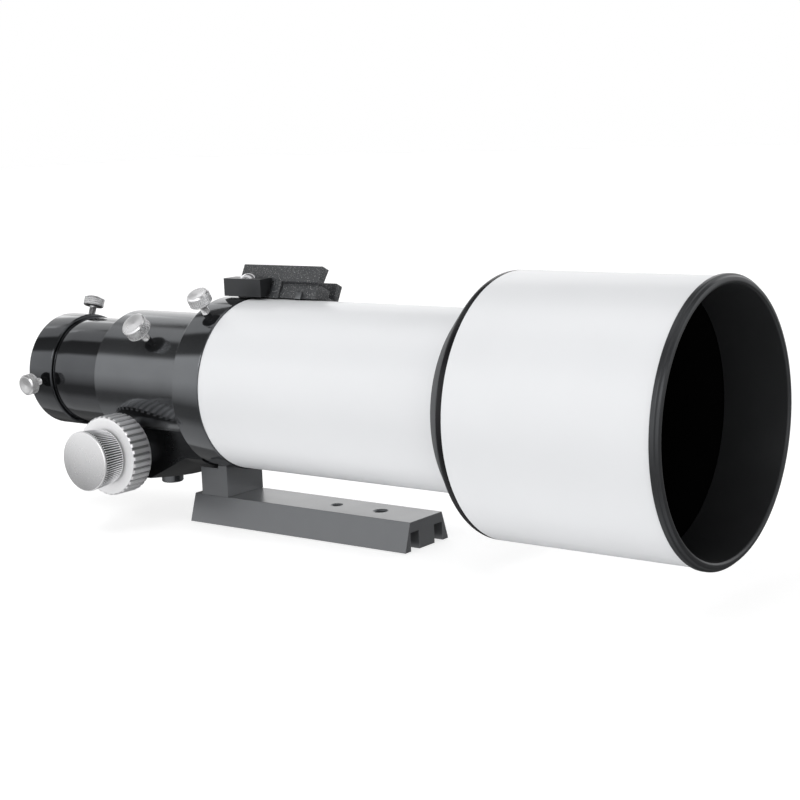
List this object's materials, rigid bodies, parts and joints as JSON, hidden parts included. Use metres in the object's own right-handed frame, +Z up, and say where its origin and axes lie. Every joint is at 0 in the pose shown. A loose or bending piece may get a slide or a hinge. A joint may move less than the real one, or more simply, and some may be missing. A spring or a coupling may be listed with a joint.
{
  "type": "refractor telescope optical tube",
  "caption": "Small white refractor optical tube with a sliding dew shield, turning two-speed focuser, finder shoe, post and dovetail bar.",
  "frame": {"origin": "centre of the dovetail bar's underside", "axes": "+X along the optical axis towards the sky end (front lens), +Z up, so -Y is the side of the fine focus knob"},
  "size_m": [0.4106, 0.1272, 0.137],
  "materials": {
    "white_paint": "gloss white paint on aluminium",
    "gloss_black": "gloss black anodised",
    "flat_black": "matte black",
    "spacer_foil": "thin foil",
    "optical_glass": "polished, coated",
    "textured_black": "textured black paint",
    "satin_grey": "satin dark grey anodised",
    "satin_nickel": "satin nickel plated",
    "steel": "bright",
    "brass": "satin",
    "black_felt": "matte felt"
  },
  "bodies": {
    "optical_tube": {"main_tube": "white_paint", "lens_cell": "flat_black", "front_lens": "optical_glass", "middle_lens": "optical_glass", "rear_lens": "optical_glass", "lens_spacer_front": "spacer_foil", "lens_spacer_rear": "spacer_foil", "lens_retaining_ring": "flat_black", "front_baffle": "flat_black", "rear_baffle": "flat_black", "rear_collar": "gloss_black", "mounting_post": "satin_grey", "dovetail_bar": "satin_grey", "bar_screws": "steel", "post_screws": "steel", "finder_shoe_base": "textured_black", "finder_rail_near": "textured_black", "finder_rail_far": "textured_black", "finder_shoe_screws": "steel", "finder_side_block": "gloss_black", "finder_side_screw": "steel"},
    "dew_shield": {"dew_shield_tube": "white_paint", "dew_shield_front_rim": "gloss_black", "dew_shield_rear_ring": "gloss_black", "dew_shield_liner": "flat_black", "guide_felt": "black_felt"},
    "focuser": {"focuser_body": "gloss_black", "turning_ring": "gloss_black", "roller_axles": "steel", "shaft_bushes": "brass", "pressure_plate": "satin_grey"},
    "drawtube": {"drawtube": "gloss_black", "drive_strip": "steel", "eyepiece_holder": "gloss_black", "brass_clamp_ring": "brass"},
    "coarse_focus": {"drive_shaft": "steel", "coarse_knob_near": "satin_nickel", "coarse_knob_far": "satin_nickel", "reducer_balls": "steel"},
    "fine_focus": {"fine_knob": "satin_nickel", "fine_shaft": "steel"},
    "roller_front_near": {"roller_front_near": "steel"},
    "roller_front_far": {"roller_front_far": "steel"},
    "roller_rear_near": {"roller_rear_near": "steel"},
    "roller_rear_far": {"roller_rear_far": "steel"},
    "holder_screw_top": {"holder_screw_top": "satin_nickel"},
    "holder_screw_side": {"holder_screw_side": "satin_nickel"},
    "drawtube_lock_screw": {"drawtube_lock_screw": "satin_nickel"},
    "rotation_lock_screw": {"rotation_lock_screw": "satin_nickel"},
    "finder_clamp_screw": {"finder_clamp_screw": "satin_nickel"},
    "tension_screw": {"tension_screw": "gloss_black"}
  },
  "joints": [
    {"name": "dew_shield_slide", "type": "slide", "parent": "optical_tube", "child": "dew_shield", "axis": [1, 0, 0], "range_m": [-0.042, 0]},
    {"name": "focuser_rotation", "type": "hinge", "parent": "optical_tube", "child": "focuser", "pos_m": [-0.0865, 0, 0.0734], "axis": [1, 0, 0], "continuous": true},
    {"name": "coarse_focus_turn", "type": "hinge", "parent": "focuser", "child": "coarse_focus", "pos_m": [-0.1005, 0, 0.0378], "axis": [0, -1, 0], "range_deg": [0, 859.5]},
    {"name": "drawtube_slide", "type": "slide", "parent": "focuser", "child": "drawtube", "axis": [-1, 0, 0], "range_m": [0, 0.06]},
    {"name": "fine_focus_turn", "type": "hinge", "parent": "focuser", "child": "fine_focus", "pos_m": [-0.1005, -0.0555, 0.0378], "axis": [0, -1, 0], "range_deg": [0, 8595]},
    {"name": "roller_front_near_turn", "type": "hinge", "parent": "focuser", "child": "roller_front_near", "pos_m": [-0.077, -0.01949, 0.09834], "axis": [0, 0.788, 0.6157], "range_deg": [0, 1528]},
    {"name": "roller_front_far_turn", "type": "hinge", "parent": "focuser", "child": "roller_front_far", "pos_m": [-0.077, 0.01949, 0.09834], "axis": [0, 0.788, -0.6157], "range_deg": [0, 1528]},
    {"name": "roller_rear_near_turn", "type": "hinge", "parent": "focuser", "child": "roller_rear_near", "pos_m": [-0.111, -0.01949, 0.09834], "axis": [0, 0.788, 0.6157], "range_deg": [0, 1528]},
    {"name": "roller_rear_far_turn", "type": "hinge", "parent": "focuser", "child": "roller_rear_far", "pos_m": [-0.111, 0.01949, 0.09834], "axis": [0, 0.788, -0.6157], "range_deg": [0, 1528]},
    {"name": "holder_screw_top_turn", "type": "hinge", "parent": "drawtube", "child": "holder_screw_top", "pos_m": [-0.1675, 0.00913, 0.09849], "axis": [0, 0.342, 0.9397], "range_deg": [0, 540]},
    {"name": "holder_screw_side_turn", "type": "hinge", "parent": "drawtube", "child": "holder_screw_side", "pos_m": [-0.1675, -0.0266, 0.07107], "axis": [0, -0.9962, -0.0872], "range_deg": [0, 540]},
    {"name": "drawtube_lock_screw_turn", "type": "hinge", "parent": "focuser", "child": "drawtube_lock_screw", "pos_m": [-0.088, -0.02118, 0.09386], "axis": [0, -0.7193, 0.6947], "range_deg": [0, 540]},
    {"name": "rotation_lock_screw_turn", "type": "hinge", "parent": "optical_tube", "child": "rotation_lock_screw", "pos_m": [-0.047, -0.01881, 0.10665], "axis": [0, -0.4924, 0.8704], "range_deg": [0, 540]},
    {"name": "finder_clamp_screw_turn", "type": "hinge", "parent": "optical_tube", "child": "finder_clamp_screw", "pos_m": [-0.0282, 0.02967, 0.11687], "axis": [0, 0.891, -0.454], "range_deg": [0, 540]},
    {"name": "tension_screw_turn", "type": "hinge", "parent": "focuser", "child": "tension_screw", "pos_m": [-0.1005, 0, 0.0222], "axis": [0, 0, -1], "range_deg": [0, 540]}
  ],
  "couplings": [
    {"joint": "coarse_focus_turn", "follows": "drawtube_slide", "rad_per_m": 250},
    {"joint": "fine_focus_turn", "follows": "drawtube_slide", "rad_per_m": 2500},
    {"joint": "roller_front_near_turn", "follows": "drawtube_slide", "rad_per_m": 444.44},
    {"joint": "roller_front_far_turn", "follows": "drawtube_slide", "rad_per_m": 444.44},
    {"joint": "roller_rear_near_turn", "follows": "drawtube_slide", "rad_per_m": 444.44},
    {"joint": "roller_rear_far_turn", "follows": "drawtube_slide", "rad_per_m": 444.44}
  ]
}
